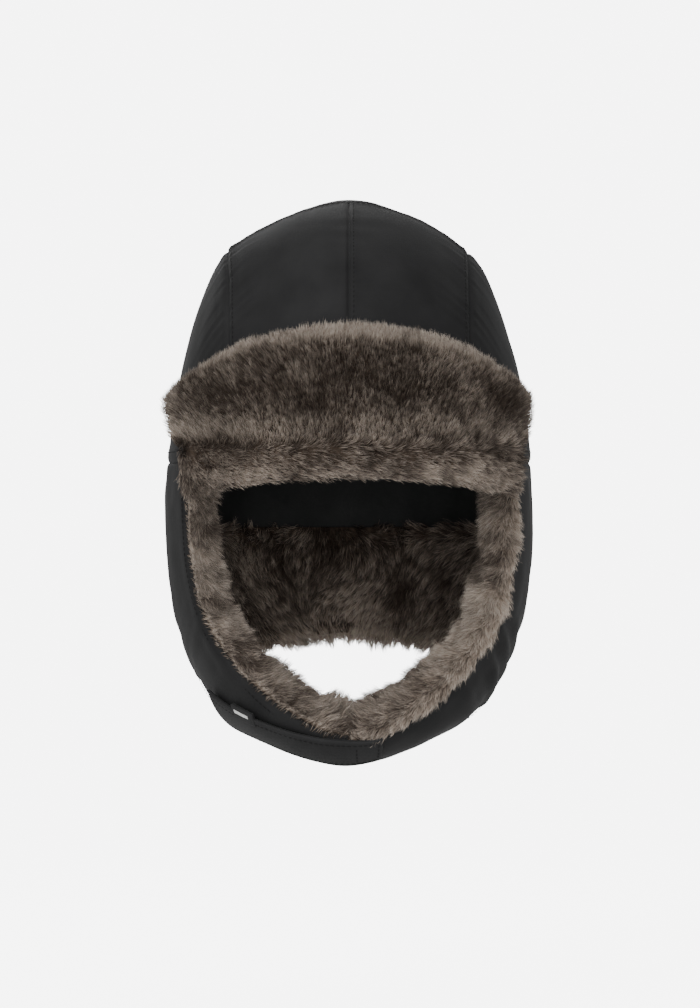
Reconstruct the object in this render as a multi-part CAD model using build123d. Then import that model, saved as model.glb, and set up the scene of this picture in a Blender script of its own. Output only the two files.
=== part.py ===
from build123d import *
import os
from math import cos, radians, sin

os.makedirs("parts", exist_ok=True)

# Trapper hat, worn way up: +Z up, the front faces -Y, the wearer's left is +X.
# The origin is the middle of the head band, level with the seam between crown and flaps.

# Driving dimensions, millimetres
HALF_WIDTH = 100.5  # outside of the nylon at the head band, across
HALF_DEPTH = 112.0  # the same, front to back
CROWN_HEIGHT = 145.0
CHIN_DEPTH = 163.0  # how far below the head band the joined flaps reach
NYLON = 1.2
WADDING = 3.0
LINING = 1.2
FUR_PILE = 13.0
LAYER_GAP = 0.3
SEAM_GAP = 0.4  # between sewn edges of two panels
BAND_THICKNESS = 1.5
BAND_HEIGHT = 30.0
BROW_EDGE = -10.0  # lower edge of the front panels
SIDE_SEAM_X = 65.0  # seam between front and side panels
TOP_SEAM_Y = -22.0  # seam between front and top panels
NECK_HEM = -104.0
FLAP_CORNER_Y = -58.0  # the front panels and front flap stay ahead of the ear flaps here
VISOR_BASE = -12.0  # fold line of the turned-up front flap
VISOR_PEAK = 77.0  # its top edge, at the middle
VISOR_SIDE = 35.0  # its top edge, at its two ends
VISOR_END_X = 101.0
VISOR_END_Y = -45.0
WING_X = 45.0  # where the front flap's middle part meets its wings
WING_RELIEF = 3.0
VISOR_PILE = 14.0
JAW_X, JAW_Z = 87.0, -113.0  # where the ear flap bends into its chin part
JAW_FAN_Z = -52.5  # the jaw cut points at this height on the middle plane
STRAP_WIDTH = 15.0  # in plan; it lies aslant on the chin, so the strap itself is about 19 wide
STRAP_THICKNESS = 1.6
PATCH_THICKNESS = 0.8
TAB_WIDTH, TAB_SHIFT = 7.0, 4.0  # the tab lies on the strap's front edge
STRAP_CENTRE = (8.2, 8.9)  # the strap's middle line is an arc in plan about this point
STRAP_RADIUS = 92.3
STRAP_SEWN, STRAP_FREE = -5.4, 60.0  # angles of its two ends, from straight ahead towards the right
REACH = 300.0  # longer than anything in the hat

# Rings of the nylon's outer surface: height, half width, half depth, centre in Y
CROWN_RINGS = [
    (-16, 101, 112, 0),
    (0, HALF_WIDTH, HALF_DEPTH, 0),
    (30, 97.5, 110, 0),
    (60, 91, 104, 0),
    (90, 80.5, 93, 0),
    (112, 69, 80, 0),
    (129, 50, 60, 0),
    (140, 26, 34, 0),
    (CROWN_HEIGHT, 4, 5, 0),
]
SKIRT_RINGS = [
    (4, HALF_WIDTH, HALF_DEPTH, 0),
    (-30, 102, 112, 0),
    (-60, 100.5, 112, 0),
    (-88, 96, 109, 0),
    (-113, 87, 97, -5),
    (-134, 73, 77, -18),
    (-150, 46.5, 51, -37),
    (-158, 27, 30, -49),
    (-CHIN_DEPTH, 6, 7, -59),
]
# Side view of an ear flap, (y, z): its face edge and its neck edge
FACE_EDGE = [(-50, 5), (-54, -30), (-57, -62), (-63, -90), (-75, -115), (-85, -136), (-91, -175)]
NECK_EDGE = [(54, 5), (48, -40), (33, -82), (6, -115), (-24, -140), (-46, -175)]


def rings_solid(rings, inset):
    """The closed form inside the nylon's outer surface, made smaller by inset."""
    across = 1 - inset / HALF_WIDTH
    along = 1 - inset / HALF_DEPTH
    up = 1 - inset / (CROWN_HEIGHT + 10)
    return loft([Pos(0, c * along, z * up) * Ellipse(a * across, b * along) for z, a, b, c in rings])


def layer(rings, outer, inner):
    """One layer of the hat between two depths below the nylon's outer surface."""
    return rings_solid(rings, outer) - rings_solid(rings, inner)


def block(x=(-REACH, REACH), y=(-REACH, REACH), z=(-REACH, REACH)):
    """A box given by its limits."""
    size = [hi - lo for lo, hi in (x, y, z)]
    return Pos((x[0] + x[1]) / 2, (y[0] + y[1]) / 2, (z[0] + z[1]) / 2) * Box(*size)


def side_profile(front, back):
    """Everything between two side-view edges, from one side of the hat to the other."""
    outline = Wire([Spline(*front), Line(front[-1], back[-1]), Spline(*back), Line(back[0], front[0])])
    return extrude(Plane.YZ * make_face(outline), REACH / 2, both=True)


def write(name, shape):
    export_step(shape, f"parts/{name}.step")


def along_strap(begin, finish, width=STRAP_WIDTH, shift=0.0):
    """A vertical prism that follows the strap in plan from one distance along it to another."""
    x, y = STRAP_CENTRE
    outline = [STRAP_CENTRE]
    for distance in (begin, finish):
        angle = radians(STRAP_SEWN) + distance / STRAP_RADIUS
        outline.append((x - REACH * sin(angle), y - REACH * cos(angle)))
    band = Circle(STRAP_RADIUS + shift + width / 2) - Circle(STRAP_RADIUS + shift - width / 2)
    sector = Pos(x, y) * band & make_face(Polyline(*outline, close=True))
    return Pos(0, 0, JAW_Z) * extrude(sector, -REACH)


# Depths of the layers below the nylon's outer surface
wadding_top = NYLON + LAYER_GAP
wadding_foot = wadding_top + WADDING
lining_top = wadding_foot + LAYER_GAP
lining_foot = lining_top + LINING
fur_foot = lining_top + FUR_PILE
band_top = lining_foot + LAYER_GAP


def crown():
    """The sewn nylon cap, its wadding, its lining and its sweatband."""
    nylon = layer(CROWN_RINGS, 0, NYLON)
    half = SEAM_GAP / 2
    front = dict(y=(-REACH, TOP_SEAM_Y - half), z=(BROW_EDGE, REACH))
    brow = nylon - block(y=(FLAP_CORNER_Y, REACH), z=(-REACH, 0)) - block(z=(-REACH, BROW_EDGE))
    write("crown_front_panel_right", brow & block(x=(-SIDE_SEAM_X + half, -half), **front))
    write("crown_front_panel_left", brow & block(x=(half, SIDE_SEAM_X - half), **front))
    write("crown_side_panel_right", brow & block(x=(-REACH, -SIDE_SEAM_X - half)))
    write("crown_side_panel_left", brow & block(x=(SIDE_SEAM_X + half, REACH)))
    top = block(x=(-SIDE_SEAM_X + half, SIDE_SEAM_X - half), y=(TOP_SEAM_Y + half, REACH), z=(0, REACH))
    write("crown_top_panel", nylon & top)
    inside = block(z=(1, REACH))
    write("crown_wadding", layer(CROWN_RINGS, wadding_top, wadding_foot) & inside)
    write("crown_lining", layer(CROWN_RINGS, lining_top, lining_foot) & inside)
    band = layer(CROWN_RINGS, band_top, band_top + BAND_THICKNESS)
    write("sweatband", band & block(z=(2, 2 + BAND_HEIGHT)))


def flap_layers():
    """The three layers that the neck flap and the ear flaps are made of."""
    return {
        "shell": layer(SKIRT_RINGS, 0, NYLON),
        "wadding": layer(SKIRT_RINGS, wadding_top, wadding_foot),
        "fur": layer(SKIRT_RINGS, lining_top, fur_foot),
    }


def neck_flap(layers):
    """The flap at the back, sewn to the crown all along its top edge."""
    edge = [(y + 2 * SEAM_GAP + 1, z) for y, z in NECK_EDGE]
    back = [(REACH / 2, z) for z in (5, -60, -175)]
    space = side_profile(edge, back) & block(z=(NECK_HEM, -SEAM_GAP))
    for name, shape in layers.items():
        write(f"neck_flap_{name}", shape & space)


def ear_flap(side, sign, layers):
    """One ear flap down to the jaw, and its chin part beyond it."""
    gap = SEAM_GAP / 2
    x = (gap, REACH / 2) if sign > 0 else (-REACH / 2, -gap)
    space = side_profile(FACE_EDGE, NECK_EDGE) & block(x=x, z=(-REACH, -SEAM_GAP))
    slope = (JAW_Z - JAW_FAN_Z) / JAW_X
    fan = [(0, JAW_FAN_Z), (REACH * sign, JAW_FAN_Z + slope * REACH), (REACH * sign, REACH), (0, REACH)]
    above = extrude(Plane.XZ * make_face(Polyline(*fan, close=True)), REACH / 2, both=True)
    for name, shape in layers.items():
        whole = shape & space
        write(f"ear_flap_{side}_{name}", whole & Pos(0, 0, gap) * above)
        write(f"chin_part_{side}_{name}", whole - Pos(0, 0, -gap) * above)


def front_flap():
    """The turned-up front flap, as a middle part and two wings that fold down with it."""
    ends, rise = VISOR_END_X, VISOR_PEAK - VISOR_SIDE
    outline = [
        ThreePointArc((-ends, VISOR_SIDE), (0, VISOR_PEAK), (ends, VISOR_SIDE)),
        Line((ends, VISOR_SIDE), (ends, VISOR_BASE)),
        Line((ends, VISOR_BASE), (-ends, VISOR_BASE)),
        Line((-ends, VISOR_BASE), (-ends, VISOR_SIDE)),
    ]
    band = extrude(Plane.XZ * make_face(Wire(outline)), REACH / 2, both=True)
    band &= block(y=(-REACH, VISOR_END_Y))
    band -= block(y=(FLAP_CORNER_Y, REACH), z=(-REACH, 4))
    depths = {
        "backing": (-0.8, -0.8 - NYLON),
        "wadding": (-2.3, -2.3 - WADDING),
        "fur": (-5.6, -2.0 - VISOR_PILE),
    }
    for name, (inner, outer) in depths.items():
        strip = layer(CROWN_RINGS, outer, inner) & band
        write(f"front_flap_{name}", strip & block(x=(-WING_X, WING_X)))
        write(f"front_wing_left_{name}", strip & block(x=(WING_X + WING_RELIEF, REACH)))
        write(f"front_wing_right_{name}", strip & block(x=(-REACH, -WING_X - WING_RELIEF)))


def chin_strap():
    """The strap under the chin, with its patches of hook and loop and its folded tab."""
    length = STRAP_RADIUS * radians(STRAP_FREE - STRAP_SEWN)
    loop = layer(SKIRT_RINGS, -0.1 - PATCH_THICKNESS, -0.1)
    hook = layer(SKIRT_RINGS, -1.2 - PATCH_THICKNESS, -1.2)
    web = layer(SKIRT_RINGS, -2.3 - STRAP_THICKNESS, -2.3)
    patch = along_strap(length - 52, length - 4, STRAP_WIDTH - 3)
    write("loop_patch", loop & patch)
    write("hook_patch", hook & patch)
    write("chin_strap", web & along_strap(0, length))
    tab = layer(SKIRT_RINGS, -4.1 - STRAP_THICKNESS, -4.1)
    write("strap_tab", tab & along_strap(length - 33.5, length - 20.5, TAB_WIDTH, TAB_SHIFT))


crown()
skirt = flap_layers()
neck_flap(skirt)
ear_flap("left", 1, skirt)
ear_flap("right", -1, skirt)
front_flap()
chin_strap()
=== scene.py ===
import math
import bmesh
import bpy
import numpy as np
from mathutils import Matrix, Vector


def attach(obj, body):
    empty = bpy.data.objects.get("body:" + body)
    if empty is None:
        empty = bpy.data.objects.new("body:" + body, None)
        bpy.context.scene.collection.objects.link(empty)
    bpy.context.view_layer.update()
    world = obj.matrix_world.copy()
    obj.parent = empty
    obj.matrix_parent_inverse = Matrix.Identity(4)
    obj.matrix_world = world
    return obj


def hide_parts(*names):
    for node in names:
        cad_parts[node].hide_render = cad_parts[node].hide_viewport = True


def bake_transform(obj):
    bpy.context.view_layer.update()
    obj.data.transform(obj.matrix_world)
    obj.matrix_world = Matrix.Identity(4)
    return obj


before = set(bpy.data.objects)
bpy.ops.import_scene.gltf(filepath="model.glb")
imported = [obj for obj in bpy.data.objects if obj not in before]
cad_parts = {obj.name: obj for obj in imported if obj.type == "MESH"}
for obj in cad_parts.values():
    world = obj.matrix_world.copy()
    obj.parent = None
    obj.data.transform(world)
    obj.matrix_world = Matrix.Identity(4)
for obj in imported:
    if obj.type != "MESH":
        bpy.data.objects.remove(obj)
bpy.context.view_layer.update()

# Shapes are worked out in millimetres, in the CAD model's frame; MM scales them to metres.
# +Z is up, the front faces -Y, and the wearer's left is +X.
MM = 0.001
HALF_WIDTH, HALF_DEPTH, CROWN_HEIGHT = 100.5, 112.0, 145.0
SIDE_SEAM_X, TOP_SEAM_Y, BROW_EDGE = 65.0, -22.0, -10.0
JAW_FAN_Z = -52.5  # the ear flaps' cross cuts fan out from this height on the middle plane
FLAP_TOP_Z = -0.1  # the nylon of the flaps starts just below the seam with the crown
NECK_HEM = -104.0
HEM_RISE = 6.0  # how far the hem arches up in the middle of the back
LINING_HEM = -36.0
STITCH_GAP = 2.4  # from a seam to the row of stitches beside it
# Rings of the form: height, half width, half depth, and the Y of the ring's centre
CROWN_RINGS = [(-16, 101, 112, 0), (0, 100.5, 112, 0), (30, 97.5, 110, 0), (60, 91, 104, 0),
               (90, 80.5, 93, 0), (112, 69, 80, 0), (129, 50, 60, 0), (140, 26, 34, 0),
               (145, 4, 5, 0), (145.2, 0.01, 0.01, 0)]
SKIRT_RINGS = [(4, 100.5, 112, 0), (-30, 102, 112, 0), (-60, 100.5, 112, 0), (-88, 96, 109, 0),
               (-113, 87, 97, -5), (-134, 73, 77, -18), (-150, 46.5, 51, -37), (-158, 27, 30, -49),
               (-163, 6, 7, -59), (-163.3, 0.01, 0.01, -59)]
# Edges of an ear flap seen from the side, as rows of Y and Z
FACE_EDGE = [(-50, 5), (-54, -30), (-57, -62), (-63, -90), (-75, -115), (-85, -136), (-91, -175)]
NECK_EDGE = [(54, 5), (48, -40), (33, -82), (6, -115), (-24, -140), (-46, -175)]

BACKDROP = 6.6  # radiance of the pale background
AMBIENT = 0.55  # radiance of the surround that lights the hat
FLOOR_LIT = 0.7  # radiance the lamps add on the floor
FLOOR_Z = -0.3  # metres; the peeled strap hangs clear of it
PILE_COUNT = {"neck": 34000, "hem": 14000, "ear": 30000, "chin": 30000, "rim": 26000,
              "front": 39000, "wing": 30000}  # strands
NECK_PILE_DEPTH, EAR_PILE_DEPTH = 8.5, 8.8  # the strands' roots, below the nylon


# ---- camera, floor and lights

def look_at(obj, target):
    obj.rotation_euler = (Vector(target) - obj.location).to_track_quat("-Z", "Y").to_euler()


def camera():
    data = bpy.data.cameras.new("camera")
    cam = bpy.data.objects.new("camera", data)
    bpy.context.collection.objects.link(cam)
    distance, frame_height, aim_z = 2.3, 0.56, -0.0225
    data.lens = data.sensor_width / 2 / (frame_height / 2 / distance)
    cam.location = (0.0005, -distance, aim_z)
    look_at(cam, (0.0005, 0, aim_z))
    bpy.context.scene.camera = cam


def area_light(name, place, size, power):
    data = bpy.data.lights.new(name, "AREA")
    data.shape, data.size, data.energy = "DISK", size, power
    lamp = bpy.data.objects.new(name, data)
    lamp.location = place
    look_at(lamp, (0, 0, 0))
    bpy.context.collection.objects.link(lamp)


def add_node(nodes, kind, inputs=(), **settings):
    """A new shader node with its settings, and its inputs' values by name or place."""
    node = nodes.new("ShaderNode" + kind)
    for key, value in settings.items():
        setattr(node, key, value)
    for key, value in dict(inputs).items():
        node.inputs[key].default_value = value
    return node


def studio():
    """A pale surround, brighter to the camera than to the hat, and soft lamps."""
    world = bpy.data.worlds.new("studio")
    bpy.context.scene.world = world
    world.use_nodes = True
    nodes, links = world.node_tree.nodes, world.node_tree.links
    soft, seen = nodes["Background"], add_node(nodes, "Background")
    for node, strength in ((soft, AMBIENT), (seen, BACKDROP)):
        node.inputs["Color"].default_value = (1, 1, 1, 1)
        node.inputs["Strength"].default_value = strength
    path, mix = add_node(nodes, "LightPath"), add_node(nodes, "MixShader")
    for place, source in enumerate((path.outputs["Is Camera Ray"], soft.outputs[0],
                                    seen.outputs[0])):
        links.new(source, mix.inputs[place])
    links.new(mix.outputs[0], nodes["World Output"].inputs[0])
    area_light("key", (-1.5, -1.9, 1.6), 1.3, 52)
    area_light("front", (0.1, -2.6, -0.02), 1.3, 32)
    area_light("fill", (1.9, -1.3, 0.4), 1.4, 3)
    area_light("top", (0, 0.2, 2.2), 1.2, 14)
    area_light("back", (-0.6, 2.2, 1.1), 1.5, 11)


def floor():
    """A pale floor that fades into the backdrop; only a faint shadow shows on it."""
    bm = bmesh.new()
    bmesh.ops.create_circle(bm, cap_ends=True, segments=96, radius=1.3)
    mesh = bpy.data.meshes.new("floor")
    bm.to_mesh(mesh)
    bm.free()
    plane = bpy.data.objects.new("floor", mesh)
    plane.location.z = FLOOR_Z
    bpy.context.collection.objects.link(plane)
    material = bpy.data.materials.new("floor")
    material.use_nodes = True
    nodes, links = material.node_tree.nodes, material.node_tree.links
    nodes.clear()
    reach = add_node(nodes, "VectorMath", operation="LENGTH")
    links.new(add_node(nodes, "TexCoord").outputs["Object"], reach.inputs[0])
    fade = add_node(nodes, "MapRange", {"From Min": 0.55, "From Max": 1.2},
                    interpolation_type="SMOOTHSTEP")
    links.new(reach.outputs["Value"], fade.inputs["Value"])
    shine = add_node(nodes, "Math", {1: BACKDROP - FLOOR_LIT}, operation="MULTIPLY")
    links.new(add_node(nodes, "LightPath").outputs["Is Camera Ray"], shine.inputs[0])
    glow, both, clear, mix = (add_node(nodes, kind) for kind in
                              ("Emission", "AddShader", "BsdfTransparent", "MixShader"))
    pale = add_node(nodes, "BsdfDiffuse", {"Color": (0.8, 0.8, 0.79, 1)})
    links.new(shine.outputs[0], glow.inputs["Strength"])
    for place, node in enumerate((glow, pale)):
        links.new(node.outputs[0], both.inputs[place])
    for place, node in enumerate((fade, both, clear)):
        links.new(node.outputs[0], mix.inputs[place])
    links.new(mix.outputs[0], add_node(nodes, "OutputMaterial").inputs[0])
    mesh.materials.append(material)


# ---- shape helpers

def smooth(points, count):
    """A smooth curve through rows of numbers, evenly sampled along its first two columns."""
    p = np.array(points, float)
    s = np.r_[0, np.cumsum(np.linalg.norm(np.diff(p[:, :2], axis=0), axis=1))]
    m = np.gradient(p, s, axis=0)
    t = np.linspace(0, s[-1], count)
    i = np.clip(np.searchsorted(s, t) - 1, 0, len(s) - 2)
    h = (s[i + 1] - s[i])[:, None]
    u = (t - s[i])[:, None] / h
    return ((1 + 2 * u) * (1 - u) ** 2 * p[i] + u * (1 - u) ** 2 * h * m[i]
            + u * u * (3 - 2 * u) * p[i + 1] + u * u * (u - 1) * h * m[i + 1])


RING_COUNT, EDGE_COUNT = 900, 300
CROWN = smooth(CROWN_RINGS, RING_COUNT)
SKIRT = smooth(SKIRT_RINGS, RING_COUNT)[::-1]
FACE = smooth([(z, y) for y, z in FACE_EDGE], EDGE_COUNT)[::-1]
NECK = smooth([(z, y) for y, z in NECK_EDGE], EDGE_COUNT)[::-1]


def shrink(depth):
    """How much the hat's form is scaled in X, Y and Z to lie at a depth below the nylon."""
    return 1 - depth / HALF_WIDTH, 1 - depth / HALF_DEPTH, 1 - depth / (CROWN_HEIGHT + 10)


def ring(profile, height, depth=0.0):
    """Half width, half depth and centre of the form's ring at a height."""
    across, along, up = shrink(depth)
    z = height / up
    a, b, c = (np.interp(z, profile[:, 0], profile[:, k], left=1e-3, right=1e-3) for k in (1, 2, 3))
    return a * across, b * along, c * along


def around(profile, height, angle, depth=0.0):
    """The form's point at a height and a plan angle, 0 at the front and 90 at the wearer's left."""
    a, b, c = ring(profile, height, depth)
    t = np.radians(angle)
    return np.stack(np.broadcast_arrays(a * np.sin(t), c - b * np.cos(t), height + 0 * t), -1)


def bisect(low, high, halvings, beyond):
    """The place between two bounds where a test turns from false to true."""
    for _ in range(halvings):
        middle = (low + high) / 2
        past = beyond(middle)
        low, high = np.where(past, low, middle), np.where(past, middle, high)
    return middle


def outside(x, y, z, depth):
    """Whether a point lies outside the skirt's form at a depth."""
    a, b, c = ring(SKIRT, z, depth)
    return (x / a) ** 2 + ((y - c) / b) ** 2 > 1


def wrap(fan, y, depth=0.0):
    """The form's point in a cross cut: fan is its angle in the front view about JAW_FAN_Z."""
    fan, y, depth = np.broadcast_arrays(np.radians(fan), y, depth)
    across, up, far_out = np.cos(fan), np.sin(fan), 260.0
    r = bisect(np.zeros(fan.shape), np.full(fan.shape, far_out), 34,
               lambda r: outside(r * across, y, JAW_FAN_Z + r * up, depth))
    return np.stack([r * across, y, JAW_FAN_Z + r * up], -1)


def edge_y(edge, fan, depth=0.0):
    """Where an ear flap's edge crosses a cross cut."""
    y = np.full(np.shape(fan), -50.0)
    for _ in range(14):  # each step halves what is left of the error
        y = 0.5 * y + 0.5 * np.interp(wrap(fan, y, depth)[..., 2], edge[:, 0], edge[:, 1])
    return y


def unit(v):
    return v / np.maximum(np.linalg.norm(v, axis=-1, keepdims=True), 1e-9)


def noise(points, size, seed):
    """Smooth noise from -1 to 1 that changes over about size."""
    cells, away = 32, 512.37  # away keeps the indices positive
    lattice = np.random.default_rng(seed).uniform(-1, 1, (cells, cells, cells))
    q = np.asarray(points, float) / size + away
    i = np.floor(q).astype(int)
    f = q - i
    f = f * f * (3 - 2 * f)
    total = 0
    for corner in range(8):
        o = np.array([corner & 1, corner >> 1 & 1, corner >> 2 & 1])
        w = np.prod(np.where(o, f, 1 - f), axis=-1)
        k = (i + o) & (cells - 1)
        total = total + w * lattice[k[..., 0], k[..., 1], k[..., 2]]
    return total


def held(x):
    """Numbers held between 0 and 1."""
    return np.clip(x, 0, 1)


def bump_at(d, width):
    return np.exp(-(d / width) ** 2)


def grid_normals(points):
    """Normals of a grid of points, by its two directions."""
    du, dv = np.gradient(points, axis=0), np.gradient(points, axis=1)
    return unit(np.cross(du, dv))


# ---- meshes

def new_object(name, mesh):
    obj = bpy.data.objects.new(name, mesh)
    bpy.context.collection.objects.link(obj)
    return obj


def new_mesh(name, vertices, faces, material):
    """A smooth-shaded object from vertices in millimetres."""
    mesh = bpy.data.meshes.new(name)
    mesh.from_pydata((np.asarray(vertices) * MM).tolist(), [], [list(map(int, f)) for f in faces])
    mesh.validate()
    mesh.polygons.foreach_set("use_smooth", [True] * len(mesh.polygons))
    mesh.materials.append(material)
    return new_object(name, mesh)


def grid_faces(rows, columns, closed=False, first=0):
    """Four-sided faces over a grid of vertices; closed joins its last column to its first."""
    wide = columns if closed else columns - 1
    r, c = np.meshgrid(np.arange(rows - 1), np.arange(wide), indexing="ij")
    d = (c + 1) % columns
    corners = [r * columns + c, r * columns + d, (r + 1) * columns + d, (r + 1) * columns + c]
    return first + np.stack(corners, -1).reshape(-1, 4)


def ringed_object(name, points, material):
    """A surface from a grid of points whose last column joins its first."""
    faces = grid_faces(points.shape[0], points.shape[1], closed=True)
    return new_mesh(name, points.reshape(-1, 3), faces, material)


def slab(name, outer, inner, material, open_rows=()):
    """A closed sheet between two grids of points.

    Its first (0) or last (-1) row is left open where it meets another sheet."""
    rows, columns = outer.shape[:2]
    count = rows * columns
    faces = [grid_faces(rows, columns)[:, ::-1], grid_faces(rows, columns, first=count)]
    first, last = np.arange(columns), count - 1 - np.arange(columns)
    sides = [np.arange(1, rows + 1) * columns - 1, np.arange(rows - 1, -1, -1) * columns]
    for line in sides + [row for end, row in ((0, first), (-1, last)) if end not in open_rows]:
        faces.append(np.stack([line[:-1], line[1:], line[1:] + count, line[:-1] + count], -1))
    vertices = np.concatenate([outer.reshape(-1, 3), inner.reshape(-1, 3)])
    return new_mesh(name, vertices, np.concatenate(faces), material)


def declare(layers, body=None):
    """Attaches layers to a body, if one is given, and hides the CAD node each replaces; a layer's
    material slot is not used.
    """
    for piece, node, slot in layers:
        if body:
            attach(piece, body)
        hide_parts(node)


def stitch_row(points, normals, pitch=3.0, share=0.72, radius=0.24):
    """Thread stitches along a line of points: their vertices and faces."""
    step = np.linalg.norm(np.diff(points, axis=0), axis=1)
    s = np.r_[0, np.cumsum(step)]
    starts = np.arange(pitch / 2, s[-1] - pitch, pitch)
    sides, flatness = 5, 0.8
    # each ring of a stitch: how far along it lies, its radius, and its height over the cloth
    rings = np.array([[0.0, 0.35, -0.35], [0.2, 1.0, 0.35], [0.5, 1.0, 0.6], [0.8, 1.0, 0.35],
                      [1.0, 0.35, -0.35]])
    where = starts[:, None] + rings[None, :, 0] * pitch * share
    line = np.stack([np.interp(where, s, points[:, k]) for k in range(3)], -1)
    up = unit(np.stack([np.interp(where, s, normals[:, k]) for k in range(3)], -1))
    along = unit(line[:, -1:] - line[:, :1])
    across = unit(np.cross(along, up))
    line = line + up * (rings[None, :, 2:] * radius)
    a = (np.arange(sides) * 2 * math.pi / sides)[None, None, :, None]
    shape = across[:, :, None] * np.cos(a) + up[:, :, None] * np.sin(a) * flatness
    shape = shape * (rings[None, :, 1, None, None] * radius)
    vertices = (line[:, :, None] + shape).reshape(-1, 3)
    one = grid_faces(len(rings), sides, closed=True)
    faces = np.concatenate([one + k * len(rings) * sides for k in range(len(starts))])
    return vertices, faces


def stitches(name, rows, material):
    """Several rows of stitches as one piece."""
    first, vertices, faces = 0, [], []
    for row in rows:
        v, f = stitch_row(*row)
        vertices.append(v)
        faces.append(f + first)
        first += len(v)
    return new_mesh(name, np.concatenate(vertices), np.concatenate(faces), material)


TONES = 24  # steps of tone between the darkest strand and the palest
STRAND_STEPS = (0.0, 0.36, 0.7, 1.0)  # where a strand's three pairs of vertices and its tip lie
STRAND_WIDTHS = (0.9, 1.0, 0.66)  # its width at the three pairs
TIP_TONE = 0.98  # where the tip lies on the colour ramp


def nearest(points, places):
    """The index of the nearest of some places, for each point."""
    found = []
    for part in np.array_split(points, max(1, len(points) // 4000)):
        found.append(np.argmin((places ** 2).sum(1)[None] - 2 * part @ places.T, axis=1))
    return np.concatenate(found)


def fur(name, roots, normals, comb, length, tone, seed, clump=4.2, gather=0.5, lift=0.6, low=0.02):
    """Pile as tapered ribbons. The UV gives a ribbon's tone, and how far along it a point lies.

    Strands lean from the normals towards comb, and lift is how much they stand up. Those within
    about clump of each other gather. The roots lie at low on the colour ramp."""
    width = 0.27
    rng = np.random.default_rng(seed)
    n = len(roots)
    s = np.array(STRAND_STEPS)[None, :, None]
    begin = unit(normals * lift + comb * (1 - lift) + rng.normal(0, 0.17, (n, 3)))
    stand = 0.25 * lift + 2.6 * np.maximum(lift - 0.62, 0)
    end = unit(normals * stand + comb + rng.normal(0, 0.26, (n, 3)))
    size = (np.broadcast_to(length, n) * rng.uniform(0.62, 1.12, n))[:, None, None]
    path = roots[:, None] + size * (begin[:, None] * s + (end - begin)[:, None] * s * s * 0.6)
    leaders = rng.permutation(n)[:max(1, int(n * min(1, (0.9 / clump) ** 2)))]
    own = leaders[nearest(roots, roots[leaders])]
    pull = (gather * rng.uniform(0.3, 1.3, n))[:, None, None]
    path = path + (path[own] - path) * pull * s ** 1.5
    along = unit(path[:, -1] - path[:, 0])
    side = unit(np.cross(along, unit(rng.normal(0, 1, (n, 3)) + normals * 0.3)))[:, None]
    broad = width * rng.uniform(0.7, 1.25, n)[:, None, None] * np.array(STRAND_WIDTHS)[:, None] / 2
    left, right = path[:, :3] - side * broad, path[:, :3] + side * broad
    vertices = np.concatenate([np.stack([left, right], 2).reshape(n, 6, 3), path[:, 3:]], 1)
    quads = np.array([[0, 1, 3, 2], [2, 3, 5, 4]])
    loops = np.concatenate([quads.ravel(), [4, 5, 6]])
    level = np.repeat(STRAND_STEPS, (2, 2, 2, 1))
    shade = np.broadcast_to(tone, n) + rng.normal(0, 0.21, n)
    shade = np.clip(shade + 0.24 * rng.uniform(-1, 1, n)[own], 0, 0.999)
    cell = np.floor(shade * TONES)
    part = np.array([0.12, 0.88, 0.12, 0.88, 0.12, 0.88, 0.5])  # the strand's two sides in its cell
    uv = np.stack([(cell[:, None] + part[None]) / TONES,
                   np.broadcast_to(low + (TIP_TONE - low) * level, (n, 7))], -1)
    # each strand has 7 vertices and 3 faces, with 4, 4 and 3 corners
    mesh = bpy.data.meshes.new(name)
    mesh.vertices.add(n * 7)
    mesh.vertices.foreach_set("co", (vertices * MM).ravel())
    mesh.loops.add(n * 11)
    each = np.arange(n)[:, None]
    mesh.loops.foreach_set("vertex_index", (loops[None] + 7 * each).ravel())
    mesh.polygons.add(n * 3)
    mesh.polygons.foreach_set("loop_start", (np.array([0, 4, 8])[None] + 11 * each).ravel())
    mesh.update(calc_edges=True)
    mesh.uv_layers.new(name="OFBake").data.foreach_set("uv", uv[:, loops].ravel())
    mesh.polygons.foreach_set("use_smooth", [True] * (n * 3))
    mesh.materials.append(PILE)
    return new_object(name, mesh)


# ---- materials

def principled(name, rough, spec, sheen=0.0):
    """A new material with its nodes, links and shader."""
    material = bpy.data.materials.new(name)
    material.use_nodes = True
    shader = material.node_tree.nodes["Principled BSDF"]
    for key, value in (("Roughness", rough), ("Specular IOR Level", spec), ("Sheen Weight", sheen),
                       ("Sheen Roughness", 0.4)):
        shader.inputs[key].default_value = value
    return material, material.node_tree.nodes, material.node_tree.links, shader


def ramp(nodes, stops):
    """A colour ramp through places and colours."""
    node = add_node(nodes, "ValToRGB")
    band = node.color_ramp
    while len(band.elements) < len(stops):
        band.elements.new(0.5)
    for element, (place, colour) in zip(band.elements, stops):
        element.position, element.color = place, (*colour, 1)
    return node


def noise_node(nodes, links, coordinates, scale, detail):
    node = add_node(nodes, "TexNoise", {"Scale": scale, "Detail": detail})
    links.new(coordinates, node.inputs["Vector"])
    return node.outputs["Fac"]


def clouded(name, rough, spec, sheen, scale, detail, stops):
    """A material whose colour follows soft noise, with its nodes, links, shader and coordinates."""
    material, nodes, links, shader = principled(name, rough, spec, sheen)
    place = add_node(nodes, "TexCoord").outputs["Object"]
    colour = ramp(nodes, stops)
    links.new(noise_node(nodes, links, place, scale, detail), colour.inputs[0])
    links.new(colour.outputs[0], shader.inputs["Base Color"])
    return material, nodes, links, shader, place


def raised(nodes, links, shader, height, strength, depth_mm):
    """Bump on a shader, from a height."""
    bump = add_node(nodes, "Bump", {"Strength": strength, "Distance": depth_mm * MM})
    links.new(height, bump.inputs["Height"])
    links.new(bump.outputs[0], shader.inputs["Normal"])


WAVE_TURN = math.pi / 10 / 2  # a wave texture of scale 1 repeats about every 0.31 m


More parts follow.
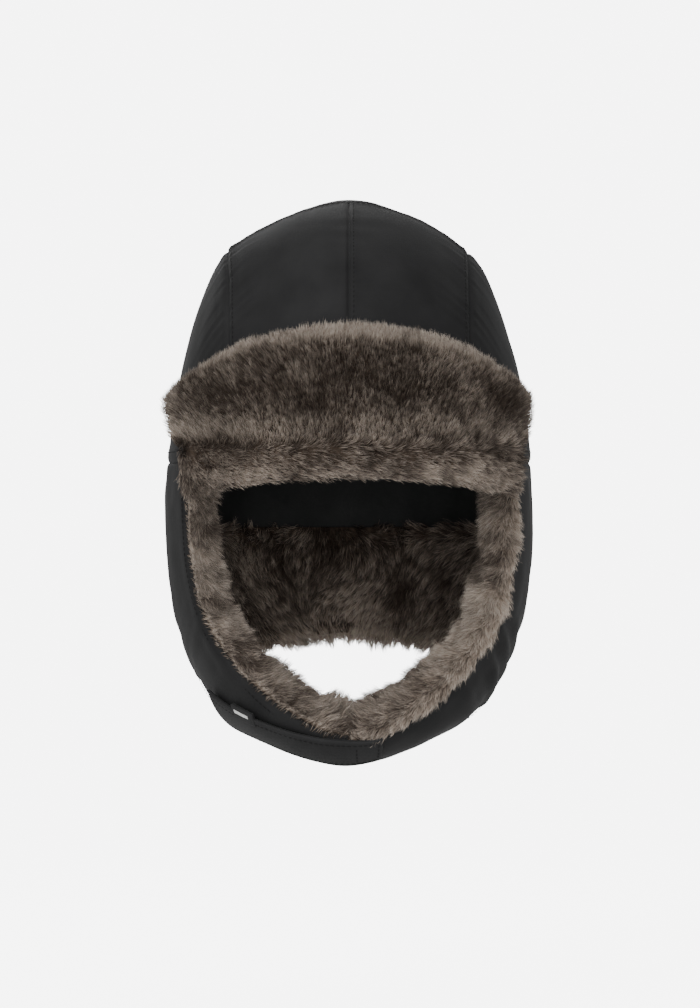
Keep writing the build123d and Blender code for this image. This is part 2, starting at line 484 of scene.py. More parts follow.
def woven(name, dark, light, pitch_mm, rough=0.72, depth_mm=0.05):
    """Plain woven cloth: crossed threads, slubs, a little dust-grey variation."""
    material, nodes, links, shader, place = clouded(name, rough, 0.16, 0.03, 45, 4,
                                                    [(0.32, dark), (0.72, light)])
    heights = []
    for direction in ("X", "Z"):
        wave = add_node(nodes, "TexWave", {"Scale": WAVE_TURN / (pitch_mm * MM), "Distortion": 0.6,
                                           "Detail": 1.0}, bands_direction=direction)
        links.new(place, wave.inputs["Vector"])
        heights.append(wave.outputs["Fac"])
    both, total = (add_node(nodes, "Math", operation=kind) for kind in ("MULTIPLY", "ADD"))
    links.new(heights[0], both.inputs[0])
    links.new(heights[1], both.inputs[1])
    links.new(both.outputs[0], total.inputs[0])
    links.new(noise_node(nodes, links, place, 900, 2), total.inputs[1])
    raised(nodes, links, shader, total.outputs[0], 0.35, depth_mm)
    return material


def pile_material():
    """Frosted pile: each strand goes from a dark root through grey-brown to a paler tip."""
    material, nodes, links, shader = principled("pile_strands", 0.62, 0.25)
    split = add_node(nodes, "SeparateXYZ")
    links.new(add_node(nodes, "UVMap", uv_map="OFBake").outputs[0], split.inputs[0])
    dark = ramp(nodes, [(0.0, (0.009, 0.006, 0.004)), (0.45, (0.021, 0.014, 0.010)),
                        (0.8, (0.040, 0.028, 0.020)), (1.0, (0.072, 0.055, 0.042))])
    pale = ramp(nodes, [(0.0, (0.028, 0.020, 0.015)), (0.35, (0.140, 0.106, 0.080)),
                        (0.7, (0.36, 0.298, 0.245)), (1.0, (0.62, 0.55, 0.48))])
    for node in (dark, pale):
        links.new(split.outputs["Y"], node.inputs[0])
    mix = add_node(nodes, "Mix", data_type="RGBA")
    links.new(split.outputs["X"], mix.inputs["Factor"])
    links.new(dark.outputs[0], mix.inputs["A"])
    links.new(pale.outputs[0], mix.inputs["B"])
    links.new(mix.outputs["Result"], shader.inputs["Base Color"])
    return material


def mottled(name, dark, light, scale, rough=0.9, bump_mm=0.6, grain=700):
    """Uneven soft surface, such as the ground of the pile."""
    material, nodes, links, shader, place = clouded(name, rough, 0.1, 0.0, scale, 6,
                                                    [(0.35, dark), (0.68, light)])
    raised(nodes, links, shader, noise_node(nodes, links, place, grain, 3), 0.5, bump_mm)
    return material


NYLON = woven("nylon_cloth", (0.0085, 0.0085, 0.0088), (0.0135, 0.0135, 0.0138), 0.55)
BACKING = woven("flap_backing_cloth", (0.008, 0.008, 0.0083), (0.0125, 0.0125, 0.0128), 0.55)
LINING = woven("lining_cloth", (0.012, 0.0123, 0.012), (0.020, 0.0203, 0.020), 0.8, 0.75)
BAND = woven("sweatband_cloth", (0.008, 0.008, 0.008), (0.014, 0.014, 0.014), 1.1, 0.85, 0.12)
WEB = woven("strap_cloth", (0.013, 0.013, 0.0134), (0.020, 0.020, 0.0205), 0.9, 0.68, 0.12)
LOOP = mottled("loop_tape", (0.008, 0.008, 0.009), (0.03, 0.03, 0.032), 900, 0.95, 0.5)
HOOK = mottled("hook_tape", (0.012, 0.012, 0.012), (0.035, 0.035, 0.035), 700, 0.5, 0.5, 1100)
THREAD = mottled("thread", (0.007, 0.007, 0.007), (0.014, 0.014, 0.014), 1500, 0.6, 0.05, 2500)
GROUND = mottled("pile_ground", (0.012, 0.008, 0.006), (0.055, 0.040, 0.029), 160)
STRIPE = mottled("tab_stripe", (0.45, 0.45, 0.44), (0.75, 0.75, 0.73), 400, 0.6, 0.1)
WADDING = mottled("wadding_fleece", (0.55, 0.55, 0.53), (0.75, 0.75, 0.72), 200)
PILE = pile_material()


# ---- crown

def seam_relief(along, d, seed):
    """Height of the cloth near a seam: a groove, the allowance beside it, and fading puckers."""
    pucker = noise(np.stack([along, along * 0 + seed, d * 0.2], -1), 3.8, 40 + seed)
    return (-1.0 * bump_at(d, 0.8) + 0.35 * bump_at(d - 2.6, 2.0)
            + 0.5 * pucker * np.exp(-d / 9.0) * (1 - bump_at(d, 1.0)))


def crown_relief(p):
    """Height of the crown's cloth over the form: seams, soft folds, fuller shoulders and peak."""
    x, y, z = p[..., 0], p[..., 1], p[..., 2]
    middle = np.abs(x) < SIDE_SEAM_X
    height = seam_relief(y + z * 0.7, np.abs(np.abs(x) - SIDE_SEAM_X), 1)
    height = height + np.where(middle, seam_relief(x, np.abs(y - TOP_SEAM_Y), 2), 0)
    height = height + np.where(middle & (y < TOP_SEAM_Y), seam_relief(z, np.abs(x), 3), 0)
    soft = held(z / 12)
    height = height + soft * (0.75 * noise(p, 46, 4) + 0.30 * noise(p, 15, 5))
    shoulder = 1.7 * bump_at(z - 92, 30) * held((np.abs(x) - 60) / 12)
    # the right shoulder stands out more than the left
    corner = np.where(x < 0, 2.8, 0.4) * bump_at(np.abs(x) - 63, 15) * bump_at(z - 118, 15)
    corner = corner * held((40 - y) / 60)
    peak = 1.2 * bump_at(np.hypot(x, y), 34)
    return height + shoulder + corner + peak - 0.9 * bump_at(z, 1.4) + 0.5 * bump_at(z - 5, 4)


def dome_grid(rows, columns, low, depth=0.0):
    """The crown's form as a grid of rings from a height up to the top."""
    kept = CROWN[CROWN[:, 0] >= low]
    at = np.linspace(0, len(kept) - 1, rows)
    z, a, b, c = (np.interp(at, np.arange(len(kept)), kept[:, k])[:, None] for k in range(4))
    t = np.radians(np.arange(columns) * 360 / columns)[None]
    across, along, up = shrink(depth)
    x, y = a * across * np.sin(t), (c - b * np.cos(t)) * along
    return np.stack(np.broadcast_arrays(x, y, z * up), -1)


def outward(points):
    """Normals of a closed grid of rings that runs upwards."""
    wide = np.concatenate([points[:, -1:], points, points[:, :1]], 1)
    normal = grid_normals(wide)[:, 1:-1]
    flat = normal * np.sign((normal * (points - [0, 0, 10])).sum(-1, keepdims=True))
    flat[-1] = (0, 0, 1)
    return flat


def cut(source, name, planes, material):
    """A copy of a mesh without what lies beyond planes, each a point and the way it is cut off."""
    bm = bmesh.new()
    bm.from_mesh(source.data)
    for point, normal in planes:
        geometry = bm.verts[:] + bm.edges[:] + bm.faces[:]
        bmesh.ops.bisect_plane(bm, geom=geometry, plane_co=Vector(point) * MM, plane_no=normal,
                               clear_outer=True)
    mesh = bpy.data.meshes.new(name)
    bm.to_mesh(mesh)
    bm.free()
    mesh.materials.append(material)
    return new_object(name, mesh)


def on_crown(points):
    """Points of the smooth crown moved onto the cloth, with the crown's normals there."""
    a, b, _ = ring(CROWN, points[:, 2])
    lower = ring(CROWN, points[:, 2] - 1)
    slope = (lower[0] - a) * np.hypot(points[:, 0] / a, points[:, 1] / b)
    normal = unit(np.stack([points[:, 0] / a ** 2, points[:, 1] / b ** 2, slope / a], -1))
    return points + normal * crown_relief(points)[:, None], normal


def crown_section_x(x, low_z, from_top):
    """A front-to-back line on the crown at one X, from a height at the front up to the top seam."""
    z = np.linspace(low_z, CROWN_HEIGHT, 700)
    a, b, _ = ring(CROWN, z)
    inside = np.abs(x) < a * 0.999
    y = -b * np.sqrt(held(1 - (x / a) ** 2))
    keep = inside & (y < from_top)
    return np.stack([np.full(keep.sum(), x), y[keep], z[keep]], -1)


def crown_section_y(y, half):
    """A side-to-side line over the crown at one Y."""
    x = np.linspace(-half, half, 400)
    z = np.linspace(0, CROWN_HEIGHT, 1500)
    a, b, _ = ring(CROWN, z)
    limit = a * np.sqrt(held(1 - (y / b) ** 2))
    height = np.interp(-np.abs(x), -limit, z)
    return np.stack([x, np.full(400, y), height], -1)


def side_seam_line(x):
    """A line over the crown at one X, from its front edge to its back edge."""
    front = crown_section_x(x, 4, 500)
    return np.concatenate([front, (front * [1, -1, 1])[::-1][1:]])


def crown():
    """The five nylon panels, cut from one dome along the seams, and their stitches."""
    grid = dome_grid(190, 560, -10)
    grid = grid + outward(grid) * crown_relief(grid)[..., None]
    dome = ringed_object("dome", grid, NYLON)
    side = SIDE_SEAM_X
    brow = ((0, 0, BROW_EDGE), (0, 0, -1))
    seam = ((0, 0, 0), (0, 0, -1))
    panels = {
        "crown_front_panel_left": [((0, 0, 0), (-1, 0, 0)), ((side, 0, 0), (1, 0, 0)), brow],
        "crown_front_panel_right": [((0, 0, 0), (1, 0, 0)), ((-side, 0, 0), (-1, 0, 0)), brow],
        "crown_side_panel_left": [((side, 0, 0), (-1, 0, 0)), seam],
        "crown_side_panel_right": [((-side, 0, 0), (1, 0, 0)), seam],
        "crown_top_panel": [((side, 0, 0), (1, 0, 0)), ((-side, 0, 0), (-1, 0, 0)), seam,
                            ((0, TOP_SEAM_Y, 0), (0, -1, 0))],
    }
    for name, planes in panels.items():
        if "front" in name:
            planes.append(((0, TOP_SEAM_Y, 0), (0, 1, 0)))
        panel = cut(dome, name.replace("panel", "nylon"), planes, NYLON)
        declare([(panel, name, "nylon")], "crown")
    bpy.data.objects.remove(dome)
    rows = [on_crown(crown_section_x(STITCH_GAP, 40, TOP_SEAM_Y - 2)),
            on_crown(crown_section_y(TOP_SEAM_Y - STITCH_GAP, SIDE_SEAM_X - 2))]
    for sign in (-1, 1):
        rows.append(on_crown(side_seam_line(sign * (SIDE_SEAM_X - STITCH_GAP))))
    # above the flaps' seam, where the turned-up front flap leaves it open
    rows.append(on_crown(around(CROWN, np.full(700, 6.0), np.linspace(62, 298, 700))))
    thread = stitches("crown_stitching", rows, THREAD)
    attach(thread, "crown")


def inner_crown():
    """Wadding, lining and sweatband, inside the nylon."""
    outer, inner = dome_grid(60, 160, 2, 3.4), dome_grid(60, 160, 2, 4.4)
    both = np.concatenate([outer, inner[::-1]])
    ringed = np.concatenate([both, both[:1]])
    wadding = ringed_object("crown_wadding_fleece", ringed, WADDING)
    t = np.arange(360) * 1.0
    # the lining reaches lower over the neck flap than at the front and sides
    back = held((np.abs(t - 180) - 62) / 8)
    hem = LINING_HEM * (1 - back * back * (3 - 2 * back)) - 1
    rise = np.linspace(0, 1, 40)[:, None]
    low = around(SKIRT, np.minimum(hem[None] * (1 - rise), 0), t[None], 5.6)
    dome = dome_grid(100, 360, 0, 5.6)
    full = np.concatenate([low[:-1], dome])
    seams = 0.5 * bump_at(np.abs(full[..., 0]), 1.5) + 0.5 * bump_at(np.abs(full[..., 1]), 1.5)
    full = full + outward(full) * (0.5 * noise(full, 22, 11) - seams)[..., None]
    lining = ringed_object("crown_lining_cloth", full, LINING)
    z = np.linspace(2, 32, 16)[:, None]
    ripple = 0.35 * noise(np.stack([t / 3, t * 0, t * 0], -1), 2, 12)[None]
    faces = [around(CROWN, z + 0 * t, t[None], depth + ripple) for depth in (6.6, 8.0)]
    loop = np.concatenate([faces[0], faces[1][::-1], faces[0][:1]])
    band = ringed_object("sweatband_cloth", loop, BAND)
    declare([(wadding, "crown_wadding", "wadding"), (lining, "crown_lining", "lining"),
             (band, "sweatband", "sweatband")], "crown")


# ---- neck flap

def neck_start(z, depth, edge):
    """Plan angle of the neck flap's left edge at a height, edge behind the cut."""
    a, b, c = ring(SKIRT, z, depth)
    y = np.interp(z, NECK[:, 0], NECK[:, 1]) + edge
    return np.degrees(np.arccos(np.clip((c - y) / b, -1, 1)))


def neck_grid(rows, columns, depth, top, low, edge=1.8):
    """The neck flap's form between two heights, from its left edge round to its right edge."""
    z = np.linspace(top, low, rows)[:, None]
    start = neck_start(z, depth, edge)
    angle = start + np.linspace(0, 1, columns)[None] * (360 - 2 * start)
    return around(SKIRT, hem_arch(z, angle), angle, depth)


def hem_arch(z, angle):
    """Raises heights near the neck flap's hem, which arches up in the middle of the back."""
    near_hem = held((LINING_HEM - z) / (LINING_HEM - NECK_HEM)) ** 2
    return z + HEM_RISE * bump_at(angle - 180, 26) * near_hem


def shell_relief(p, hem, seed):
    """Soft folds of a padded nylon flap, with a stitched hem at distance hem from its edge."""
    folds = 0.8 * noise(p * [1, 1, 0.55], 30, seed) + 0.35 * noise(p, 12, seed + 1)
    return folds + 0.3 * bump_at(hem - 5, 4) - 0.9 * bump_at(hem, 1.2)


def inward_of(points):
    """Unit directions from points of a grid towards the inside of the hat."""
    normal = grid_normals(points)
    return -normal * np.sign((normal * (points - [0, 0, -30])).sum(-1, keepdims=True))


def neck_flap():
    """The flap's shell, fleece, pile and stitches."""
    rows, columns, span = 90, 220, 250
    outer = neck_grid(rows, columns, 0, FLAP_TOP_Z, NECK_HEM)
    share = np.linspace(0, 1, columns)
    to_side = (np.minimum(share, 1 - share) * span)[None]
    hem = np.minimum(np.linspace(-NECK_HEM, 0, rows)[:, None], to_side)
    relief = shell_relief(outer, hem, 21) - 0.8 * bump_at(outer[..., 2], 1.4)
    cloth = outer - inward_of(outer) * relief[..., None]
    turned_in = 1.8 + 3.2 * bump_at(hem, 2.6)
    shell = slab("neck_flap_nylon", cloth,
                 neck_grid(rows, columns, turned_in, FLAP_TOP_Z, NECK_HEM), NYLON)
    fleece = slab("neck_flap_fleece", neck_grid(24, 80, 3.0, -3, NECK_HEM + 8, 9),
                  neck_grid(24, 80, 4.4, -3, NECK_HEM + 8, 9), WADDING)
    ground_in = neck_grid(60, 150, 9.5, LINING_HEM, NECK_HEM + 1)
    ground_in = ground_in + inward_of(ground_in) * (1.6 * noise(ground_in, 9, 23))[..., None]
    ground = slab("neck_flap_pile_ground", neck_grid(60, 150, 5.2, LINING_HEM, NECK_HEM + 1),
                  ground_in, GROUND)
    declare([(shell, "neck_flap_shell", "nylon"), (fleece, "neck_flap_wadding", "wadding"),
             (ground, "neck_flap_fur", "pile")], "crown")
    for piece in neck_pile():
        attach(piece, "crown")
    angle = np.linspace(108, 252, 500)
    line = around(SKIRT, hem_arch(NECK_HEM + 6.5, angle), angle, -0.1)
    thread = stitches("neck_flap_stitching", [(line, unit(line * [1, 1, 0]))], THREAD)
    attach(thread, "crown")


def neck_pile():
    """Pile on the inside of the neck flap, and the pale fringe at its hem."""
    rng = np.random.default_rng(25)
    count = PILE_COUNT["neck"]
    z = LINING_HEM + 1 + (NECK_HEM - LINING_HEM + 2) * rng.uniform(0, 1, count) ** 0.8
    start = neck_start(z, NECK_PILE_DEPTH, 1)
    angle = start + rng.uniform(0, 1, count) * (360 - 2 * start)
    low = held((z - NECK_HEM) / 26)
    length = 11.5 - 5.0 * (1 - held((z - NECK_HEM) / 9))
    z = hem_arch(z, angle)
    roots = around(SKIRT, z, angle, NECK_PILE_DEPTH)
    normals = unit(around(SKIRT, z, angle, 12) - roots)
    swirl = noise(roots, 30, 26)[:, None] * np.cross(normals, [0, 0, 1.0]) * 1.3
    rising = bump_at(z - LINING_HEM, 7)[:, None] * (0.9 + noise(roots, 7, 22)[:, None])
    comb = unit(np.array([0, 0, -1.0]) + np.array([0, 0, 1.2]) * rising + swirl + 0.35 * normals)
    x = roots[:, 0]
    # paler patches in the pile, and darker patches that are painted shade: a crease and the shadowed
    # inside of the flap
    patches_and_painted_shade = 0.38 * bump_at(x - 8, 18) * bump_at(z + 82, 15)
    patches_and_painted_shade = patches_and_painted_shade + 0.26 * bump_at(x - 52, 16) * bump_at(z + 47, 12)
    patches_and_painted_shade = patches_and_painted_shade - 0.30 * bump_at(x + 34, 26) * bump_at(z + 62, 24)
    patches_and_painted_shade = patches_and_painted_shade - 0.30 * bump_at(x - 36 - 0.5 * (z + 62), 9) * bump_at(z + 66, 22)
    # the pile grows paler towards the hem: frosted tips, and partly painted backlight
    tone = 0.36 + 0.85 * (1 - low) ** 1.9 + patches_and_painted_shade
    tone = tone + 0.44 * noise(roots, 22, 27) + 0.20 * noise(roots, 6, 24)
    pile = fur("neck_flap_pile", roots, normals, comb, length, tone, 28, gather=0.6)
    edge_angle = rng.uniform(112, 248, PILE_COUNT["hem"])
    edge_z = hem_arch(NECK_HEM + rng.uniform(0, 8, PILE_COUNT["hem"]), edge_angle)
    depth = rng.uniform(8.0, 9.8, PILE_COUNT["hem"])
    roots = around(SKIRT, edge_z, edge_angle, depth)
    normals = unit(around(SKIRT, edge_z, edge_angle, depth + 4) - roots)
    sideways = 0.7 * noise(roots, 7, 29)[:, None] * np.cross(normals, [0, 0, 1.0])
    comb = unit(np.array([0, 0, -1.0]) + sideways)
    length = 8.5 + 4.0 * noise(roots, 5, 33)
    # a pale fringe: frosted tips, made paler still with painted backlight
    tone = 0.85 + 0.4 * noise(roots, 8, 30)
    fringe = fur("neck_flap_fringe", roots, normals, comb, length, tone, 31, clump=5, gather=0.75,
                 lift=0.5, low=0.36)
    return pile, fringe


# ---- ear flaps and chin parts

FIRST_FAN = 35.5  # above the flaps' top edges
LAST_FAN = 89.93  # just short of the middle, where the two flaps meet
FANS = np.linspace(FIRST_FAN, -LAST_FAN, 200)
FACE_Y, NECK_Y = edge_y(FACE, FANS), edge_y(NECK, FANS)
EDGE_INSET = 0.6  # how far the inner layers draw back at the edges, as a share of their scaling
CHIN_SPLIT = 0.44  # where the upper piece of an ear flap's cloth meets the lower one
CHIN_PARTING = 2.6  # half width of the dark parting in the pile where the two flaps meet
FLAP_FRONT_Y, FLAP_SPAN_Y = -50, 104  # face edge and width of an ear flap at the crown


def flap_point(s, v, depth=0.0, side=1):
    """A point of an ear flap: s runs from the crown to under the chin, v from face to neck edge."""
    s, v, depth = np.broadcast_arrays(np.asarray(s, float), v, depth)
    across, along, _ = shrink(depth)
    y = FLAP_FRONT_Y + FLAP_SPAN_Y * v
    x = HALF_WIDTH * across * np.sqrt(1 - (y / (HALF_DEPTH * along)) ** 2)
    top = np.degrees(np.arctan2(-JAW_FAN_Z - 0.1, x))
    fan = top * (1 - s) - LAST_FAN * s
    face, neck = (np.interp(-fan, -FANS, edge) for edge in (FACE_Y, NECK_Y))
    inset = 1 - EDGE_INSET * (1 - along)
    return wrap(fan, (face * (1 - v) + neck * v) * inset, depth) * [side, 1, 1]


def flap_grid(rows, columns, depth, side, s_range, v_range=(0, 1)):
    """Part of an ear flap's form as a grid of points."""
    s = np.linspace(*s_range, rows)[:, None]
    v = np.linspace(*v_range, columns)[None]
    return flap_point(s, v, depth, side)


def chin_blend(piece, side, label):
    """Bakes a lower piece's transform into its mesh; it does not bend it."""
    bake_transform(piece)


def flap_blend(piece, side, label):
    """Bakes an upper piece's transform into its mesh; it does not bend it."""
    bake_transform(piece)


def jaw_folds(p, seed):
    """Slanting creases in the nylon where the flap turns under the jaw."""
    across = p[..., 1] * 0.55 + p[..., 2] * 0.85
    along = np.abs(p[..., 0]) * 0.5 + p[..., 1] * 0.4
    crease = noise(np.stack([across / 7, along / 30, along * 0 + seed], -1), 1, seed + 6)
    return 1.9 * crease * bump_at(p[..., 2] + 112, 32)


def ear_flap(label, side):
    """An ear flap and its chin part: shell, fleece, pile and stitches of each."""
    seed = 50 if side > 0 else 70
    columns, flap_length = 90, 190
    parts = {"ear_flap": ((0, CHIN_SPLIT), 70, flap_blend, (-1,)),
             "chin_part": ((CHIN_SPLIT, 1), 110, chin_blend, (0,))}
    for part, (s_range, rows, bend, meets) in parts.items():
        outer = flap_grid(rows, columns, 0, side, s_range)
        v_line = np.linspace(0, 1, columns)
        width = np.linalg.norm(outer[:, 0] - outer[:, -1], axis=-1)[:, None]
        to_middle = (1 - np.linspace(*s_range, rows)[:, None]) * flap_length
        hem = np.minimum(np.minimum(v_line, 1 - v_line)[None] * width * 1.05, to_middle)
        relief = shell_relief(outer, hem, 50) - 0.8 * bump_at(outer[..., 2], 1.4)
        relief = relief + jaw_folds(outer, seed)
        cloth = outer - inward_of(outer) * relief[..., None]
        turned_in = 2.2 + 3.0 * bump_at(hem, 2.6)
        name = f"{part}_{label}"
        shell = slab(f"{name}_nylon", cloth,
                     flap_grid(rows, columns, turned_in, side, s_range), NYLON, meets)
        drawn_in = np.clip(s_range, 0.17, 0.955)
        fleece = slab(f"{name}_fleece", flap_grid(30, 30, 3.2, side, drawn_in, (0.1, 0.9)),
                      flap_grid(30, 30, 4.6, side, drawn_in, (0.1, 0.9)), WADDING)
        inner = flap_grid(60, 60, 9.5, side, s_range, (0.01, 0.99))
        inner = inner + inward_of(inner) * (1.2 * noise(inner, 9, seed + 2))[..., None]
        ground = slab(f"{name}_pile_ground",
                      flap_grid(60, 60, 5.0, side, s_range, (0.01, 0.99)), inner, GROUND)
        declare([(shell, f"{name}_shell", "nylon"), (fleece, f"{name}_wadding", "wadding"),
                 (ground, f"{name}_fur", "pile")])
        key = "ear" if part == "ear_flap" else "chin"
        pile = flap_pile(f"{name}_pile", PILE_COUNT[key], s_range, side, seed + 5)
        rim = flap_rim(f"{name}_rim", PILE_COUNT["rim"], s_range, side, seed + 9)
        s = np.linspace(s_range[0] + 0.01, s_range[1] - 0.01, 300)
        inset = 2.6 / np.linalg.norm(flap_point(s, 0.0) - flap_point(s, 1.0), axis=-1)
        rows_of_thread = []
        for v in (inset, 1 - inset):
            line = flap_point(s, v, 0, side)
            rows_of_thread.append((line, unit(line * [1, 0.6, 1] - [0, 0, -40])))
        thread = stitches(f"{name}_stitching", rows_of_thread, THREAD)
        for piece in (shell, fleece, ground, pile, rim, thread):
            bend(piece, side, label)


def flap_pile(name, count, s_range, side, seed):
    """Pile on the inside of an ear flap, combed down and towards the face."""
    rng = np.random.default_rng(seed)
    s, v = rng.uniform(*s_range, count), rng.uniform(0.0, 1.0, count) ** 1.25
    roots = flap_point(s, v, EAR_PILE_DEPTH, side)
    normals = unit(flap_point(s, v, 13, side) - roots)
    down = unit(flap_point(s + 0.02, v, EAR_PILE_DEPTH, side) - roots)
    forward = unit(flap_point(s, v - 0.05, EAR_PILE_DEPTH, side) - roots)
    comb = unit(down * 0.8 + forward * (0.55 + 0.5 * noise(roots, 24, seed + 1))[:, None])
    # paler near the face edge and darker deeper in: painted light where the front lamp reaches,
    # painted shade further inside
    tone = 0.26 + 0.26 * np.exp(-v / 0.12) + 0.34 * noise(roots, 15, seed + 2)
    tone = tone + 0.18 * noise(roots, 5, seed + 4)
    parted = bump_at(roots[:, 0], CHIN_PARTING)
    tone = tone - 0.6 * parted
    length = (11.0 - 2.0 * held((s - 0.55) / 0.3)) * (1 - 0.6 * parted)
    return fur(name, roots, normals, comb, length, tone, seed + 3)


def flap_rim(name, count, s_range, side, seed):
    """Pile round the face edge of an ear flap, from the nylon's edge to the inside."""
    rng = np.random.default_rng(seed)
    s = rng.uniform(*s_range, count)
    over = 0.12 if side > 0 else 0.01  # how much of the pile spills over the nylon
    turn = rng.uniform(-over, 1, count)
    depth = 2.4 + 8.5 * np.maximum(turn, 0)
    spill = held(-turn / over)
    at = 0.004  # the face edge, as a share of the flap's width
    roots = flap_point(s, at, depth - 2.2 * spill, side)
    forward = unit(roots - flap_point(s, 0.06, depth - 2.2 * spill, side))
    inward = unit(flap_point(s, at, depth + 4, side) - roots)
    down = unit(flap_point(s + 0.02, at, depth, side) - roots)
    turned = held(turn)[:, None]
    # on the wearer's left, loose pile lies outwards over the nylon
    loose = held(1 - turned[:, 0] / 0.28) * (side > 0) * held((0.97 - s) / 0.06)
    loose = loose[:, None]
    normals = unit(forward * (1.15 - turned) + inward * turned - inward * 0.9 * loose)
    tousle = noise(roots, 13, seed + 1)[:, None] * forward
    tousle = tousle + noise(roots, 9, seed + 6)[:, None] * inward
    towards = 0.1 + 0.5 * turned + 0.08 * bump_at(s - 0.78, 0.13)[:, None] - 0.6 * loose
    comb = down * 0.8 + inward * towards + 0.75 * tousle
    comb = unit(comb - forward * 0.75 * loose)
    # the pile's cut edge is paler: pale hair with a painted highlight; pile turned further inside is
    # darker, as painted shade
    pale_and_highlit_edge = np.exp(-(turned[:, 0] / 0.1) ** 2)
    tone = 0.42 + 0.4 * pale_and_highlit_edge - 0.16 * turned[:, 0] + 0.44 * noise(roots, 14, seed + 2)
    tone = tone + 0.3 * noise(roots, 4, seed + 4) + (0.26 if side > 0 else 0.02)
    parted = bump_at(roots[:, 0], CHIN_PARTING)
    tone = tone - 0.6 * parted - 0.12 * held((roots[:, 2] + 60) / 50)
    length = 3.5 + 9.0 * held(turn / 0.4) + 6.5 * loose[:, 0]
    length = length * (1 - 0.6 * parted)
    return fur(name, roots, normals, comb, length, tone, seed + 3, lift=0.66, gather=0.6)


# ---- front flap

WING_ANGLE = 26.3  # plan angle of the split between the middle part and a wing
WING_SHARE = 0.42  # the same split as a share of the way from the middle to an end
FOLD_ANGLE, CORNER_ANGLE = 55.0, 68.5  # plan angles of the flap's end, at its fold and at its top
TOP_BASE, TOP_RISE, TOP_HALF, TOP_POWER = 6.0, 62.0, 104.0, 2.3  # oval arc of the cloth's top edge
CROWN_FOOT = -15.9  # the front flap stays above the lowest of the crown's rings
SIDE_FOLD = (68.3, -82.2)  # X and Y of the middle of a wing's fold
FRONT_FOLD_Y = -108  # Y of the middle part's fold


def plan_angle(share, rise):
    """Plan angle of a place on the front flap: share runs from -1, its right end, to 1, its left."""
    far = np.abs(share)
    end = FOLD_ANGLE + (CORNER_ANGLE - FOLD_ANGLE) * held(rise) ** 1.5
    wing = WING_ANGLE + (far - WING_SHARE) / (1 - WING_SHARE) * (end - WING_ANGLE)
    return np.sign(share) * np.where(far < WING_SHARE, far / WING_SHARE * WING_ANGLE, wing)


def flap_top(x):
    """Height of the turned-up front flap's top edge."""
    share = np.clip(np.abs(x) / TOP_HALF, 0, 0.999)
    return TOP_BASE + TOP_RISE * (1 - share ** TOP_POWER) ** (1 / TOP_POWER)


def front_point(share, rise, out):
    """A point of the front flap: rise from its fold, 0, to its top edge, 1, out from the crown."""
    share, rise, out = np.broadcast_arrays(np.asarray(share, float), rise, out)
    angle = plan_angle(share, rise)
    fold = -5 - 8 * (angle / 50) ** 2
    height = fold + (flap_top(TOP_HALF * np.sin(np.radians(angle))) - fold) * rise
    return around(CROWN, np.maximum(height, CROWN_FOOT), angle, -out)


def front_slab(name, shares, near, far, material, columns, seed, inset=(0.0, 1.0)):
    """One layer of the front flap between two distances from the crown, thinner at its edges."""
    rise = np.linspace(*inset, 50)[:, None]
    share = np.linspace(*shares, columns)[None]
    end = held((1 - np.abs(share)) / 0.1)
    near_edge = np.minimum(np.minimum(rise, 1 - rise) / 0.10, 1)
    edge = np.sqrt(held(1 - (1 - near_edge) ** 2)) * np.sqrt(end)
    inner = front_point(share, rise, near)
    outer = front_point(share, rise, near + (far - near) * (0.25 + 0.75 * edge))
    outer = outer + unit(outer - inner) * (0.08 * (far - near) * noise(outer, 9, seed))[..., None]
    return slab(name, outer, inner, material)


def front_tone(roots):
    """Tone over the front flap: pale along the top, dark below, paler above the parting."""
    x, z = roots[:, 0], roots[:, 2]
    below = flap_top(x) - z
    low = held((30 - z) / 16)
    tone = 0.19 + 0.11 * low + 0.54 * bump_at(below, 8) + 0.40 * bump_at(z - 17, 8)
    tone = tone - 0.10 * bump_at(z - 6, 4) + 0.38 * bump_at(z + 8, 8)
    tone = tone + 0.12 * bump_at(x - 12, 26) * bump_at(z - 36, 18)
    tone = tone + 0.34 * low * noise(roots * [0.3, 0.3, 1.0], 3.2, 99)
    ends = held((np.abs(x) - 62) / 25) * np.where(x > 0, 0.24, 0.16)
    return tone - ends + 0.30 * noise(roots, 18, 93) + 0.24 * noise(roots, 4.5, 94)


def front_pile(name, count, shares, seed):
    """Pile on the front flap: combed up above its parting, and sideways below it."""
    rng = np.random.default_rng(seed)
    share = rng.uniform(*shares, count)
    rise = rng.uniform(-0.05, 1.0, count)
    at_top = count // 7  # these strands make the top edge dense
    rise[:at_top] = rng.uniform(0.93, 1.01, at_top)
    out = 8.6 - 5.2 * held((rise - 0.93) / 0.08) - 3.5 * held(-rise / 0.05)
    out = out * rng.uniform(0.75, 1.0, count)
    roots = front_point(share, rise, out)
    normals = unit(front_point(share, rise, out + 3) - roots)
    sideways = np.cross(normals, [0, 0, 1.0])
    line = np.stack([roots[:, 0], roots[:, 0] * 0, roots[:, 0] * 0], -1)
    parting = 7 + 4 * noise(line, 30, 95) + 3 * noise(roots, 9, 98)
    up = held((roots[:, 2] - parting) / 15 + 0.4)
    up = (up * up * (3 - 2 * up))[:, None]
    drift = noise(roots, 30, 96)[:, None]
    flow = -(0.9 + 0.5 * drift)
    comb = np.array([0, 0, 1.0]) * (1.3 * up - 0.3)
    comb = unit(comb + sideways * ((1 - up) * flow + 0.5 * up * drift))
    ends = held((np.abs(share) - 0.8) / 0.2)[:, None] * np.sign(share)[:, None]
    angle = np.radians(plan_angle(share, rise))
    away = unit(np.stack([np.cos(angle), np.sin(angle), angle * 0], -1))
    comb = unit(comb + 0.8 * away * ends)
    edge = held((rise - 0.88) / 0.1)
    length = 8.2 + 1.8 * noise(roots, 10, 97)
    lift = (0.5 + 0.4 * up[:, 0] - 0.34 * edge)[:, None]
    tone = front_tone(roots)
    return fur(name, roots, normals, comb, length, tone, seed + 1, clump=3.6, lift=lift)


